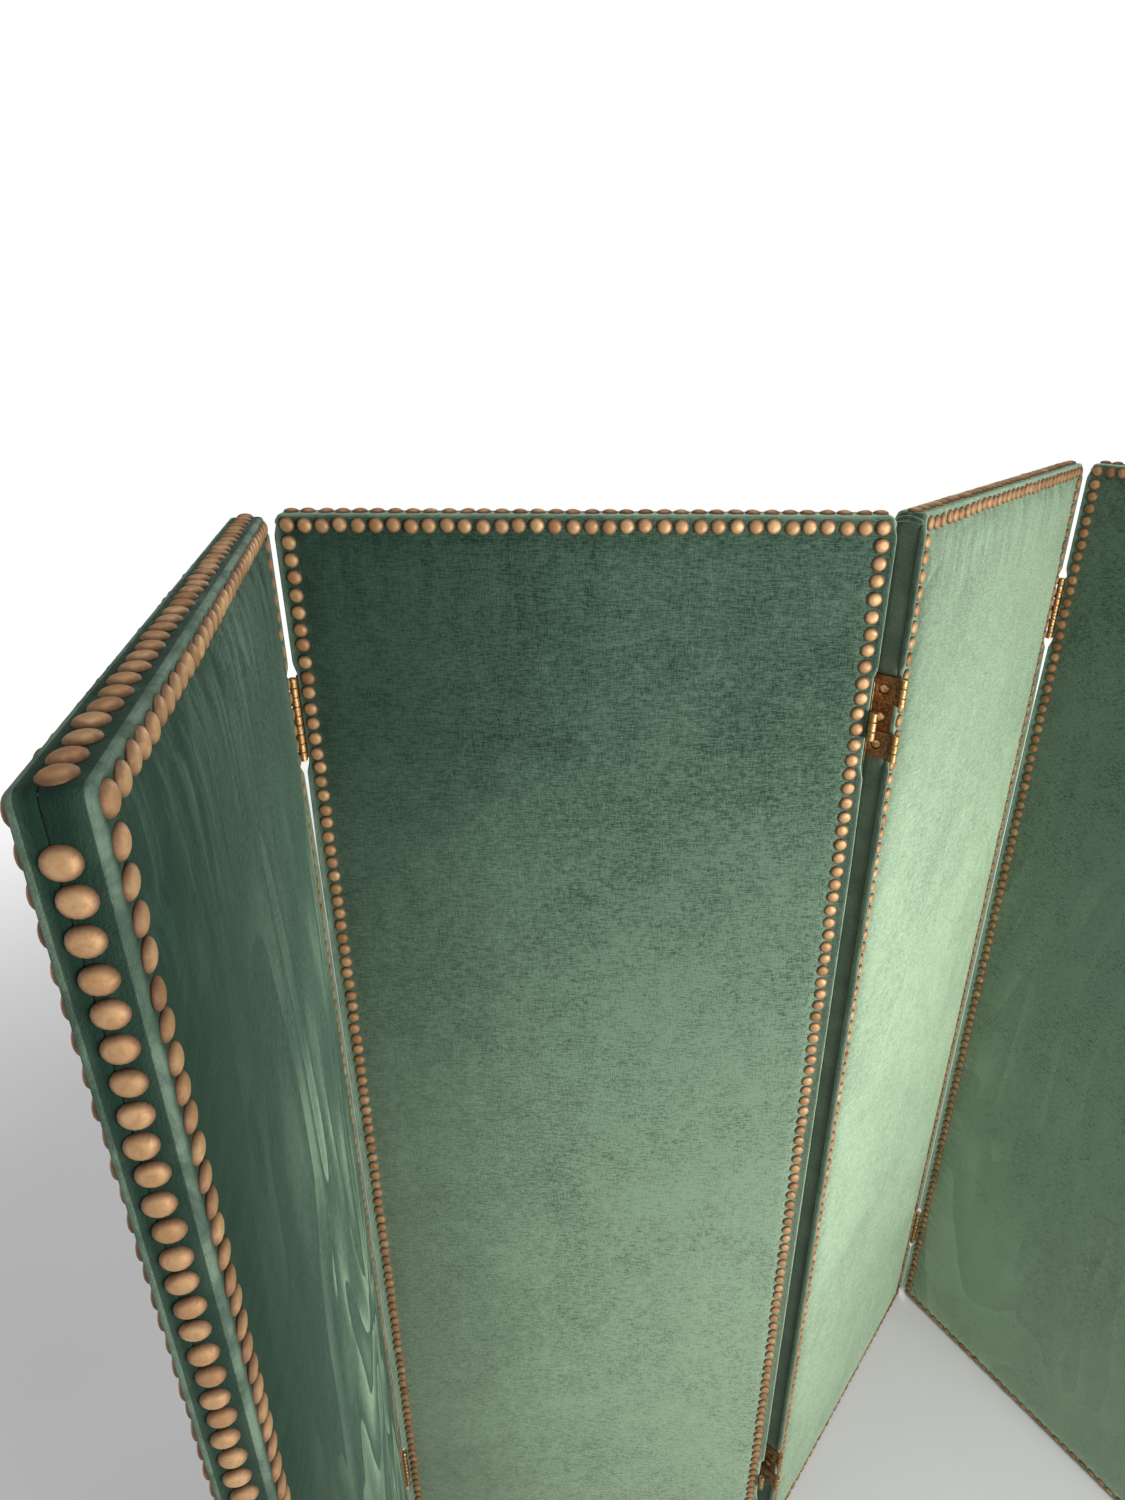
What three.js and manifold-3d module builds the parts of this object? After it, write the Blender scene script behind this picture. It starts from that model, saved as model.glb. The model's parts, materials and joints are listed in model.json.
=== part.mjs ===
// Four-leaf folding screen: upholstered leaves joined by two-way hinges.
// Millimetres, +Z up. The origin is on the floor, under the middle of the centre left leaf,
// whose faces look along -Y (front) and +Y (rear).
import * as THREE from "three";
import { mergeVertices } from "three/addons/utils/BufferGeometryUtils.js";
import Module from "manifold-3d";

const wasm = await Module();
wasm.setup();

// Leaves
const LEAF_WIDTH = 503;
const LEAF_HEIGHT = 1525;
const LEAF_THICKNESS = 26;
const OUTER_LEAF_TRIM = 1.5; // the outer leaves are narrower, so that their edge nails pass each other
const EDGE_GAP = 6; // between two neighbouring leaves' edges, when they stand in line
const PIN_STANDOFF = 4; // of the hinge pins, outside the leaves' faces
const FIT = 0.3; // clearance between pieces that touch

// How far each pair of leaves is folded from the straight line, in degrees
const LEFT_FOLD = 105;
const CENTRE_FOLD = 51;
const RIGHT_FOLD = 106;

// Timber frame inside each leaf
const STILE_WIDTH = 42;
const RAIL_WIDTH = 60;
const TENON = { length: 28, width: 40, thickness: 7 };

// Velvet and wadding on each face, with lips that turn over the edges
const COVER_THICKNESS = 3.7;
const LIP_THICKNESS = 1.5;
const NAIL_DIAMETER = 12.7;
const NAIL_HEIGHT = 3.6;
const NAIL_INSET = 9; // of the nails' centre line, from the leaf's edge
const NAIL_CHAMFER = 2.4;
const NAIL_SEAT = 1; // how deep the nail border is let into the cover
const COVER_SEAM = 3; // the front cover's lips reach this far past the leaf's middle plane

// Tape down each hinged edge
const TAPE_THICKNESS = 0.6;
const TAPE_WIDTH = 18;
const TAPE_END = 5; // the tape stops this far short of the leaf's top and bottom

// Two-way hinges
const HINGE_HEIGHT = 80;
const HINGE_FROM_END = 140; // from the leaf's top or bottom to the near end of the hinge
const SECTIONS = 3;
const KNUCKLES_PER_SECTION = 3;
const PLATE_THICKNESS = 1;
const PLATE_WIDTH = 22;
const KNUCKLE_RADIUS = 3.6;
const BORE_RADIUS = 1.9;
const PIN_RADIUS = 1.5;
const COUNTERSINK = { outer: 3.9, inner: 2.1 };
const LINK_HOLE_RADIUS = 4.8; // lets the screw heads show, and be reached
const BARREL_SIDES = 8;
const PIN_SIDES = 6;
const HOLE_SIDES = 6;
const NECK_OVERLAP = 1; // how far a knuckle's neck runs into its plate

const OVERCUT = 1; // how far a cutter runs past the face that it cuts

const PIN_Y = LEAF_THICKNESS / 2 + PIN_STANDOFF;
const FRAME_EDGE = LIP_THICKNESS + FIT;
const FRAME_THICKNESS = LEAF_THICKNESS - 2 * (COVER_THICKNESS + FIT);
const SECTION_PITCH = HINGE_HEIGHT / SECTIONS;
const SECTION_HEIGHT = SECTION_PITCH - FIT;
const KNUCKLE_PITCH = SECTION_HEIGHT / KNUCKLES_PER_SECTION;
const LEAF_PLATE_X = PLATE_THICKNESS + FIT; // from the pins' plane to the middle of a hinge leaf
const SINK_DEPTH = PLATE_THICKNESS + 0.02; // a countersink runs just past both faces of its plate

const velvet = () => new THREE.MeshStandardMaterial({ color: 0x44705c, roughness: 0.95, metalness: 0 });
const timber = () => new THREE.MeshStandardMaterial({ color: 0xc9a878, roughness: 0.8, metalness: 0 });
const tape = () => new THREE.MeshStandardMaterial({ color: 0x3c5a4b, roughness: 0.9, metalness: 0 });
const bronze = () => new THREE.MeshStandardMaterial({ color: 0x6b4a28, roughness: 0.45, metalness: 0.9 });

const radians = THREE.MathUtils.degToRad;

function toManifold(geometry) {
  const bare = geometry.clone();
  bare.deleteAttribute("normal");
  bare.deleteAttribute("uv");
  const merged = mergeVertices(bare, 1e-4);
  const mesh = new wasm.Mesh({
    numProp: 3,
    vertProperties: new Float32Array(merged.attributes.position.array),
    triVerts: new Uint32Array(merged.index.array),
  });
  return new wasm.Manifold(mesh);
}

function toGeometry(body) {
  const mesh = body.getMesh();
  const geometry = new THREE.BufferGeometry();
  geometry.setAttribute("position", new THREE.BufferAttribute(mesh.vertProperties, 3));
  geometry.setIndex(new THREE.BufferAttribute(mesh.triVerts, 1));
  geometry.computeVertexNormals();
  return geometry;
}

// A box from its two corners.
function block(low, high) {
  const size = high.map((value, i) => value - low[i]);
  const middle = high.map((value, i) => (value + low[i]) / 2);
  return new THREE.BoxGeometry(...size).translate(...middle);
}

// A round bar along Z, its lower end at z.
function bar(radius, height, x, y, z, sides) {
  return new THREE.CylinderGeometry(radius, radius, height, sides)
    .rotateX(Math.PI / 2)
    .translate(x, y, z + height / 2);
}

function addPiece(group, name, geometry, material) {
  const piece = new THREE.Mesh(geometry, material);
  piece.name = name;
  group.add(piece);
}

// ---- Timber frame: stiles with mortises, and rails whose tenons sit in them ----

function railSpan(isTop) {
  const low = isTop ? LEAF_HEIGHT - FRAME_EDGE - RAIL_WIDTH : FRAME_EDGE;
  return { low, high: low + RAIL_WIDTH };
}

function tenonBox(fromX, toX, span, clearance) {
  const halfWidth = TENON.width / 2 + clearance;
  const halfThickness = TENON.thickness / 2 + clearance;
  const middle = (span.low + span.high) / 2;
  return block([fromX, -halfThickness, middle - halfWidth], [toX, halfThickness, middle + halfWidth]);
}

function stile(width, isLeft) {
  const outer = isLeft ? FRAME_EDGE : width - FRAME_EDGE;
  const inner = isLeft ? outer + STILE_WIDTH : outer - STILE_WIDTH;
  const inward = isLeft ? 1 : -1;
  const low = [Math.min(outer, inner), -FRAME_THICKNESS / 2, FRAME_EDGE];
  const high = [Math.max(outer, inner), FRAME_THICKNESS / 2, LEAF_HEIGHT - FRAME_EDGE];
  let body = toManifold(block(low, high));
  for (const isTop of [true, false]) {
    const bottom = inner - inward * (TENON.length + FIT);
    const mouth = inner + inward * OVERCUT;
    const mortise = tenonBox(Math.min(bottom, mouth), Math.max(bottom, mouth), railSpan(isTop), FIT);
    body = body.subtract(toManifold(mortise));
  }
  return toGeometry(body);
}

function rail(width, isTop) {
  const span = railSpan(isTop);
  const left = FRAME_EDGE + STILE_WIDTH;
  const right = width - left;
  const board = block(
    [left + FIT, -FRAME_THICKNESS / 2, span.low],
    [right - FIT, FRAME_THICKNESS / 2, span.high],
  );
  const tongue = tenonBox(left - TENON.length, right + TENON.length, span, 0);
  return toGeometry(toManifold(board).add(toManifold(tongue)));
}

// ---- Covers: a face of padded velvet, its lips, and the raised border of nails ----

function borderShape(width) {
  const edge = NAIL_INSET - NAIL_DIAMETER / 2 + NAIL_CHAMFER;
  const inner = NAIL_INSET + NAIL_DIAMETER / 2 - NAIL_CHAMFER;
  const shape = new THREE.Shape();
  shape.moveTo(edge, edge);
  shape.lineTo(width - edge, edge);
  shape.lineTo(width - edge, LEAF_HEIGHT - edge);
  shape.lineTo(edge, LEAF_HEIGHT - edge);
  shape.closePath();
  const hole = new THREE.Path();
  hole.moveTo(inner, inner);
  hole.lineTo(inner, LEAF_HEIGHT - inner);
  hole.lineTo(width - inner, LEAF_HEIGHT - inner);
  hole.lineTo(width - inner, inner);
  hole.closePath();
  shape.holes.push(hole);
  return shape;
}

// Built lying in X and Y with the face at z = 0, then stood up as the front cover.
function nailBorder(width) {
  const geometry = new THREE.ExtrudeGeometry(borderShape(width), {
    depth: NAIL_SEAT,
    bevelEnabled: true,
    bevelThickness: NAIL_HEIGHT,
    bevelSize: NAIL_CHAMFER,
    bevelSegments: 2,
  });
  return geometry.translate(0, 0, -NAIL_SEAT).rotateX(Math.PI / 2).translate(0, -LEAF_THICKNESS / 2, 0);
}

function cover(width, isFront) {
  const face = -LEAF_THICKNESS / 2;
  const lipEnd = (isFront ? COVER_SEAM : -COVER_SEAM) - FIT / 2;
  const shell = block([0, face, 0], [width, lipEnd, LEAF_HEIGHT]);
  const pocket = block(
    [LIP_THICKNESS, face + COVER_THICKNESS, LIP_THICKNESS],
    [width - LIP_THICKNESS, lipEnd + OVERCUT, LEAF_HEIGHT - LIP_THICKNESS],
  );
  const borderBack = block([0, face + COVER_THICKNESS / 2, 0], [width, lipEnd, LEAF_HEIGHT]);
  const raised = toManifold(nailBorder(width)).subtract(toManifold(borderBack));
  const body = toManifold(shell).subtract(toManifold(pocket)).add(raised);
  const geometry = toGeometry(body);
  return isFront ? geometry : geometry.rotateZ(Math.PI).translate(width, 0, 0);
}

function edgeTape(width, isLeft) {
  const near = FIT;
  const far = FIT + TAPE_THICKNESS;
  const low = isLeft ? -far : width + near;
  const high = isLeft ? -near : width + far;
  return block([low, -TAPE_WIDTH / 2, TAPE_END], [high, TAPE_WIDTH / 2, LEAF_HEIGHT - TAPE_END]);
}

function addLeafPieces(group, name, width, hingedEdges) {
  addPiece(group, `${name}_left_stile`, stile(width, true), timber());
  addPiece(group, `${name}_right_stile`, stile(width, false), timber());
  addPiece(group, `${name}_top_rail`, rail(width, true), timber());
  addPiece(group, `${name}_bottom_rail`, rail(width, false), timber());
  addPiece(group, `${name}_front_cover`, cover(width, true), velvet());
  addPiece(group, `${name}_rear_cover`, cover(width, false), velvet());
  for (const side of hingedEdges) {
    addPiece(group, `${name}_${side}_tape`, edgeTape(width, side === "left"), tape());
  }
}

// ---- Two-way hinges, about the plane x = 0 that holds both pins' lines ----
// Each of the three sections has a link between the two hinge leaves. The outer links run from the
// left leaf's rear pins to the right leaf's front pins, and the middle link runs the other way.

function sectionBase(section) {
  return section * SECTION_PITCH + FIT / 2;
}

function knuckleBase(section, index) {
  return sectionBase(section) + index * KNUCKLE_PITCH;
}

// A knuckle on the pins' line at y, with the neck that joins it to a plate centred on plateX.
function knuckle(y, plateX, base) {
  const height = KNUCKLE_PITCH - FIT;
  const half = PLATE_THICKNESS / 2;
  const root = Math.sign(y) * (PLATE_WIDTH / 2 - NECK_OVERLAP);
  const neck = block(
    [plateX - half, Math.min(y, root), base + FIT / 2],
    [plateX + half, Math.max(y, root), base + FIT / 2 + height],
  );
  const barrel = bar(KNUCKLE_RADIUS, height, 0, y, base + FIT / 2, BARREL_SIDES);
  return toManifold(barrel).add(toManifold(neck));
}

function plate(x, base, height) {
  const half = PLATE_THICKNESS / 2;
  return toManifold(block([x - half, -PLATE_WIDTH / 2, base], [x + half, PLATE_WIDTH / 2, base + height]));
}

// A hole along X at the middle of a section, centred on x and of depth, wider at its +X end if tapered.
function screwHole(x, section, wideRadius, narrowRadius, depth) {
  const hole = new THREE.CylinderGeometry(wideRadius, narrowRadius, depth, HOLE_SIDES)
    .rotateZ(-Math.PI / 2)
    .translate(x, 0, sectionBase(section) + SECTION_HEIGHT / 2);
  return toManifold(hole);
}

// The hinge leaf of the left-hand side. Turned half round about Z, it is the right-hand one.
function hingeLeaf() {
  const x = -LEAF_PLATE_X;
  let body = plate(x, 0, HINGE_HEIGHT);
  for (let section = 0; section < SECTIONS; section += 1) {
    const isMiddle = section === 1;
    const y = isMiddle ? -PIN_Y : PIN_Y;
    const pin = bar(PIN_RADIUS, SECTION_HEIGHT, 0, y, sectionBase(section), PIN_SIDES);
    body = body.add(knuckle(y, x, knuckleBase(section, 1))).add(toManifold(pin));
    body = body.subtract(screwHole(x, section, COUNTERSINK.outer, COUNTERSINK.inner, SINK_DEPTH));
  }
  return toGeometry(body);
}

function hingeLink(section) {
  let body = plate(0, sectionBase(section), SECTION_HEIGHT);
  for (const y of [-PIN_Y, PIN_Y]) {
    for (const index of [0, 2]) {
      body = body.add(knuckle(y, 0, knuckleBase(section, index)));
    }
    const bore = bar(BORE_RADIUS, HINGE_HEIGHT + 2 * OVERCUT, 0, y, -OVERCUT, PIN_SIDES);
    body = body.subtract(toManifold(bore));
  }
  const hole = screwHole(0, section, LINK_HOLE_RADIUS, LINK_HOLE_RADIUS, PLATE_THICKNESS + OVERCUT);
  return toGeometry(body.subtract(hole));
}

// Puts one hinge on two leaves. The links that a fold leaves lying on each side follow foldsTo.
function addHinge(name, left, right, foldsTo, base) {
  const frames = { left: new THREE.Group(), right: new THREE.Group() };
  frames.left.position.set(left.userData.width + EDGE_GAP / 2, 0, base);
  frames.right.position.set(-EDGE_GAP / 2, 0, base);
  left.add(frames.left);
  right.add(frames.right);
  const [outerSide, middleSide] = foldsTo === "rear" ? ["right", "left"] : ["left", "right"];
  const [outerFrame, middleFrame] = [frames[outerSide], frames[middleSide]];
  addPiece(frames.left, `${name}_left_leaf`, hingeLeaf(), bronze());
  addPiece(frames.right, `${name}_right_leaf`, hingeLeaf().rotateZ(Math.PI), bronze());
  addPiece(outerFrame, `${name}_bottom_link`, hingeLink(0), bronze());
  addPiece(middleFrame, `${name}_middle_link`, hingeLink(1), bronze());
  addPiece(outerFrame, `${name}_top_link`, hingeLink(2), bronze());
}

function addHingePair(name, left, right, foldsTo) {
  addHinge(`${name}_upper_hinge`, left, right, foldsTo, LEAF_HEIGHT - HINGE_FROM_END - HINGE_HEIGHT);
  addHinge(`${name}_lower_hinge`, left, right, foldsTo, HINGE_FROM_END);
}

// ---- The screen: each leaf's group has its left edge at x = 0 and its middle plane at y = 0 ----

function leaf(name, width, hingedEdges) {
  const group = new THREE.Group();
  group.userData.width = width;
  addLeafPieces(group, name, width, hingedEdges);
  return group;
}

// A turning group on a pin's line, with a leaf hung in it so that the pin sits where it should.
function hang(parent, pinX, pinY, degrees, child, childX) {
  const pivot = new THREE.Group();
  pivot.position.set(pinX, pinY, 0);
  pivot.rotation.z = radians(degrees);
  child.position.set(childX, -pinY, 0);
  pivot.add(child);
  parent.add(pivot);
}

const outerWidth = LEAF_WIDTH - OUTER_LEAF_TRIM;
const farLeft = leaf("far_left", outerWidth, ["right"]);
const centreLeft = leaf("centre_left", LEAF_WIDTH, ["left", "right"]);
const centreRight = leaf("centre_right", LEAF_WIDTH, ["left", "right"]);
const farRight = leaf("far_right", outerWidth, ["left"]);

const screen = new THREE.Group();
centreLeft.position.x = -LEAF_WIDTH / 2;
screen.add(centreLeft);
hang(centreLeft, -EDGE_GAP / 2, -PIN_Y, LEFT_FOLD, farLeft, -EDGE_GAP / 2 - outerWidth);
hang(centreLeft, LEAF_WIDTH + EDGE_GAP / 2, PIN_Y, CENTRE_FOLD, centreRight, EDGE_GAP / 2);
hang(centreRight, LEAF_WIDTH + EDGE_GAP / 2, -PIN_Y, -RIGHT_FOLD, farRight, EDGE_GAP / 2);

addHingePair("left", farLeft, centreLeft, "front");
addHingePair("centre", centreLeft, centreRight, "rear");
addHingePair("right", centreRight, farRight, "front");

export default screen;
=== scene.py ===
"""The looks of a four-panel upholstered folding screen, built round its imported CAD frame.

Everything is in metres in the frame's own axes. Each panel's pieces are made in that panel's own
coordinates (x across from its left edge, y from its middle plane towards the rear, z up) and are
then carried to their place by the panel's matrix.
"""

import json
import math

import bmesh
import bpy
import numpy as np
from mathutils import Matrix, Vector


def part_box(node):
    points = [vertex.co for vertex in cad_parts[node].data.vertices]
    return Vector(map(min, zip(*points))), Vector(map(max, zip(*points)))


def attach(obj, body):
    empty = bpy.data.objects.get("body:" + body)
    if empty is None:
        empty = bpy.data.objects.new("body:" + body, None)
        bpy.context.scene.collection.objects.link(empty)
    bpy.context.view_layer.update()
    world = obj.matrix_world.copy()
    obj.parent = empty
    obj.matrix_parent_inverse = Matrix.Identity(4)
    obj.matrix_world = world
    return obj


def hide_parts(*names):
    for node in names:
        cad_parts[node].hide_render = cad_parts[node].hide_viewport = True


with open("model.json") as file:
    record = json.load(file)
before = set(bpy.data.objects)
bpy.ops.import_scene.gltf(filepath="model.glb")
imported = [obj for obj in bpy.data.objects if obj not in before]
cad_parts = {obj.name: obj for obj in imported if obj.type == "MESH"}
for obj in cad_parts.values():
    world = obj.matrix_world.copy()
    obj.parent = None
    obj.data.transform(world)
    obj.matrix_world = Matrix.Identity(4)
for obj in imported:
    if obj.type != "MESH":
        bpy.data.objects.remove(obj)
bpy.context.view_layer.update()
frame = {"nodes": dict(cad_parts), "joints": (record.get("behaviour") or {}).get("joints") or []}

MM = 0.001
TAU = 2 * math.pi

# ---- Sizes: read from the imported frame, or set here for what only the looks need ----

CAD_NAIL_HEIGHT = 3.6 * MM
FRONT_LOW, FRONT_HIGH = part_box("centre_left_front_cover")
REAR_LOW, REAR_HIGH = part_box("centre_left_rear_cover")
HEIGHT = FRONT_HIGH.z
THICKNESS = REAR_HIGH.y - FRONT_LOW.y - 2 * CAD_NAIL_HEIGHT
SEAM_Y = (FRONT_HIGH.y + REAR_LOW.y) / 2
SEAM_GAP = REAR_LOW.y - FRONT_HIGH.y
JOINTS = {joint["name"]: joint for joint in frame["joints"]}
EDGE_GAP = 2 * JOINTS["centre_fold"]["pos_m"][0] - (FRONT_HIGH.x - FRONT_LOW.x)
PIN_Y = JOINTS["centre_fold"]["pos_m"][1]

NAIL_DIAMETER = 12.7 * MM
NAIL_HEIGHT = 3.4 * MM
NAIL_RIM = 0.5 * MM
NAIL_PITCH = 14.7 * MM
NAIL_INSET = 9 * MM
NAIL_SUNK = 0.35 * MM
EDGE_NAIL_SUNK = 0.25 * MM
NAIL_PRESS = 0.75 * MM
NAIL_PRESS_RADIUS = 7.4 * MM

COVER_DEPTH = 3.7 * MM
LIP_DEPTH = 1.5 * MM
EDGE_ROUND = 3.2 * MM
CORNER_ROUND = 4.5 * MM
SEAM_ROUND = 0.4 * MM
EDGE_LINES = np.array([0, 0.45, 1.1, 2.0, 3.2, 5.0, 7.0]) * MM
WEAR_REACH = 2.4 * MM
BORDER_SHADE_REACH = 16 * MM

# Down a hinged edge the velvet is folded to a sharp, slightly proud bead beside the tape. It is
# lower beside the hinges, and near the top, where it falls away between these two heights.
BEAD_ROUND = 0.5 * MM
BEAD_REACH = 2.6 * MM
BEAD_OUT = 2.9 * MM
BEAD_PROUD = 4.0 * MM
BEAD_AT_TOP = 0.68
BEAD_TOP = (1.20, 1.32)
BEAD_AT_HINGE = 0.26

TAPE_HALF_WIDTH = 9 * MM
TAPE_END = 5 * MM
TAPE_RIB = 1.6 * MM
TAPE_RIB_HEIGHT = 0.12 * MM
TAPE_LIFT = 0.1 * MM
TAPE_BACK = 0.05 * MM

# Over the tape's upper end the velvet is tucked down in a soft roll.
TUCK_OUT = 2.2 * MM
TUCK_DROP = 5.5 * MM
TUCK_SAG = 1.6 * MM
TUCK_WAVE = 0.5 * MM
TUCK_HALF_HEIGHT = 2.6 * MM
TUCK_HALF_LENGTH = 11.8 * MM

# How far the padding stands up inside the nails. Two faces that close on each other share the room
# that the hinges leave between them, and the velvet of the far left panel's front has gone slack.
SWELL = 3.0 * MM
SWELLS = {"far_left_front": 6.0 * MM, "centre_left_front": 1.4 * MM, "centre_right_front": 3.4 * MM}

# Lasting creases in a cover: where each starts, which way it runs, its length, height and breadth.
FOLDS = {
    "centre_left_front": [
        ((0.27, 1.508), (0.75, -0.65), 45 * MM, -0.9 * MM, 5 * MM),
        ((0.30, 1.508), (0.9, -0.45), 30 * MM, 0.6 * MM, 4 * MM),
        ((0.15, 1.02), (1.0, 0.25), 60 * MM, -0.35 * MM, 6 * MM),
    ],
}

# The sheet that is let swell under pressure to shape the covers.
CLOTH_STEP = 5 * MM
CLOTH_FRAMES = 20
CLOTH_SETTINGS = {
    "quality": 5,
    "mass": 0.15,
    "tension_stiffness": 12,
    "compression_stiffness": 12,
    "shear_stiffness": 6,
    "bending_stiffness": 0.4,
    "vertex_group_mass": "nailed",
    "shrink_min": -0.006,
    "use_pressure": True,
    "uniform_pressure_force": 4,
}

HINGE_SECTIONS = 3
HINGE_BOXES = [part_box(f"centre_{level}_hinge_left_leaf") for level in ("lower", "upper")]
HINGE_SPANS = [(low.z, high.z) for low, high in HINGE_BOXES]
HINGE_HEIGHT = HINGE_SPANS[0][1] - HINGE_SPANS[0][0]
HINGE_FIT = 0.3 * MM
SECTION_HEIGHT = HINGE_HEIGHT / HINGE_SECTIONS - HINGE_FIT
PLATE_WIDTH = 22 * MM
PLATE_DEPTH = 1 * MM
PLATE_BEVEL = 0.22 * MM
LEAF_X = -(PLATE_DEPTH + HINGE_FIT)
KNUCKLE_RADIUS = 3.6 * MM
KNUCKLE_CHAMFER = 0.55 * MM
KNUCKLE_PITCH = SECTION_HEIGHT / 3
KNUCKLE_HEIGHT = KNUCKLE_PITCH - HINGE_FIT
KNUCKLE_BORE = 1.6 * MM
PIN_RADIUS = 1.5 * MM
PIN_END_RADIUS = 0.9 * MM
PIN_PROUD = 0.1 * MM
LINK_HOLE_RADIUS = 5.0 * MM
SCREW_RADIUS = 3.9 * MM
SCREW_HEAD_RADIUS = SCREW_RADIUS - 0.15 * MM
SLOT_HALF_ANGLE = math.asin(0.13)

# A lamp's place, the place it is aimed at, its size, spread in degrees and power, and its colour
# where it isn't white.
LAMPS = {
    "key": ((1.4, -1.2, 1.12), (0.05, 0.0, 1.02), 1.0, 130, 24, (1.0, 0.985, 0.95)),
    "overhead": ((0.2, -0.3, 3.6), (0.2, 0.0, 1.0), 2.0, 180, 28),
    "left_fill": ((-2.3, -0.9, 1.6), (0.0, 0.0, 0.8), 1.6, 150, 8),
    "rear_fill": ((0.5, 2.8, 1.7), (0.1, 0.0, 0.8), 2.0, 150, 34),
}
AMBIENT = 0.20
FLOOR_HALF = 40.0

# ---- Panels ----


class Panel:
    """One panel, with the matrix that carries its own coordinates to the frame's."""

    def __init__(self, name, pivot, degrees, hinged, seed):
        self.name = name
        self.body = f"{name}_panel"
        self.hinged = hinged
        self.seed = seed
        turned = Matrix.Translation(pivot) @ Matrix.Rotation(math.radians(degrees), 4, "Z")
        back = turned.inverted()
        corners = np.array([back @ v.co for v in frame["nodes"][f"{name}_front_cover"].data.vertices])
        low, high = corners.min(0), corners.max(0)
        self.width = float(high[0] - low[0])
        middle_y = float(low[1]) + CAD_NAIL_HEIGHT + THICKNESS / 2
        self.matrix = turned @ Matrix.Translation((float(low[0]), middle_y, 0))

    def edge_matrix(self, side):
        """Carries an edge's coordinates (x outwards from the edge, z up) to the panel's own."""
        if side == "right":
            return Matrix.Translation((self.width, 0, 0))
        return Matrix.Rotation(math.pi, 4, "Z")


def fold_of(joint):
    """How far a joint is folded at rest: its range starts where the panels are in line."""
    return -JOINTS[joint]["range_deg"][0]


def make_panels():
    left, centre, right = (Vector(JOINTS[f"{name}_fold"]["pos_m"]) for name in ("left", "centre", "right"))
    turn = fold_of("centre_fold")
    panels = [
        Panel("far_left", left, fold_of("left_fold"), ("right",), 11),
        Panel("centre_left", Vector((0, 0, 0)), 0, ("left", "right"), 23),
        Panel("centre_right", centre, turn, ("left", "right"), 37),
        Panel("far_right", right, turn - fold_of("right_fold"), ("left",), 53),
    ]
    return {panel.name: panel for panel in panels}


# ---- Mesh helpers ----


def carry(points, matrix):
    m = np.array(matrix)
    return points @ m[:3, :3].T + m[:3, 3]


def new_object(name, data):
    obj = bpy.data.objects.new(name, data)
    bpy.context.scene.collection.objects.link(obj)
    return obj


def make_object(name, points, faces, matrix=Matrix()):
    mesh = bpy.data.meshes.new(name)
    mesh.from_pydata(carry(points, matrix).tolist(), [], faces)
    mesh.polygons.foreach_set("use_smooth", [True] * len(mesh.polygons))
    mesh.update()
    return new_object(name, mesh)


def add_attributes(obj, **fields):
    """Stores numbers or vectors on an object's points, for its material to read."""
    for name, values in fields.items():
        values = np.asarray(values, np.float32)
        kind, key = ("FLOAT_VECTOR", "vector") if values.ndim == 2 else ("FLOAT", "value")
        obj.data.attributes.new(name, kind, "POINT").data.foreach_set(key, values.ravel())


def finish_piece(obj, panel, nodes, materials):
    for material in materials:
        obj.data.materials.append(material)
    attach(obj, panel.body)
    if nodes:
        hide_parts(*nodes)


def circle(radius, sides, a=0.0, b=0.0):
    """The points of a circle about (a, b)."""
    turns = [k * TAU / sides for k in range(sides)]
    return [(a + radius * math.cos(turn), b + radius * math.sin(turn)) for turn in turns]


def band(a, b, sides):
    """The quads between a ring of points that starts at index a and one that starts at index b."""
    return [(a + k, b + k, b + (k + 1) % sides, a + (k + 1) % sides) for k in range(sides)]


def grid_faces(nx, nz):
    """The quads of a grid whose points are numbered along x first."""
    corner = np.arange(nx * nz).reshape(nz, nx)[:-1, :-1].ravel()
    return np.stack([corner, corner + 1, corner + nx + 1, corner + nx], 1).tolist()


# ---- Materials ----

VELVET_DARK = (0.007, 0.025, 0.016, 1)
VELVET_LIGHT = (0.088, 0.150, 0.106, 1)
# The pale green painted on as sheen at a glancing angle.
VELVET_PAINTED_SHEEN = (0.56, 0.74, 0.50, 1)
VELVET_RUBBED = (0.26, 0.36, 0.27, 1)

# Each panel's velvet has its own painted light and shade. In order: how streaked it is (0 to 1); how
# streaked just under its top nails; how strongly it has been stroked by hand, shown as painted sheen;
# how much of that is at its left and right; how strong its sheen is, and how pale its colour is painted
# at a glancing angle as painted sheen; how light it is painted at its left and right; its hue.
VELVETS = {
    "far_left": (0.5, 1.2, 1.0, (0.15, 1.0), 0.03, (0.08, 0.90), (0.88, 1.0, 1.08)),
    "centre_left": (0.15, 0.35, 0.0, (1.0, 1.0), 0.86, (0.44, 1.38), (0.97, 1.0, 1.0)),
    "centre_right": (0.10, 0.9, 0.0, (1.0, 1.0), 0.72, (0.92, 0.92), (1.0, 1.0, 1.0)),
    "far_right": (0.35, 0.6, 1.2, (1.0, 0.4), 1.0, (2.1, 2.1), (1.0, 1.0, 1.0)),
}

# Each brass metal's dark and light colours, and its roughness where bright and where stained.
BRASSES = {
    "hinge_plate": ((0.15, 0.075, 0.030, 1), (0.42, 0.25, 0.11, 1), 0.32, 0.52),
    "hinge_barrel": ((0.26, 0.14, 0.050, 1), (0.54, 0.34, 0.15, 1), 0.38, 0.54),
    # The leaf's brass is darker: partly grime, partly painted shade behind the links.
    "hinge_leaf": ((0.075, 0.036, 0.016, 1), (0.24, 0.13, 0.055, 1), 0.36, 0.56),
    "hinge_screw": ((0.46, 0.32, 0.17, 1), (0.78, 0.64, 0.42, 1), 0.24, 0.40),
}


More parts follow.
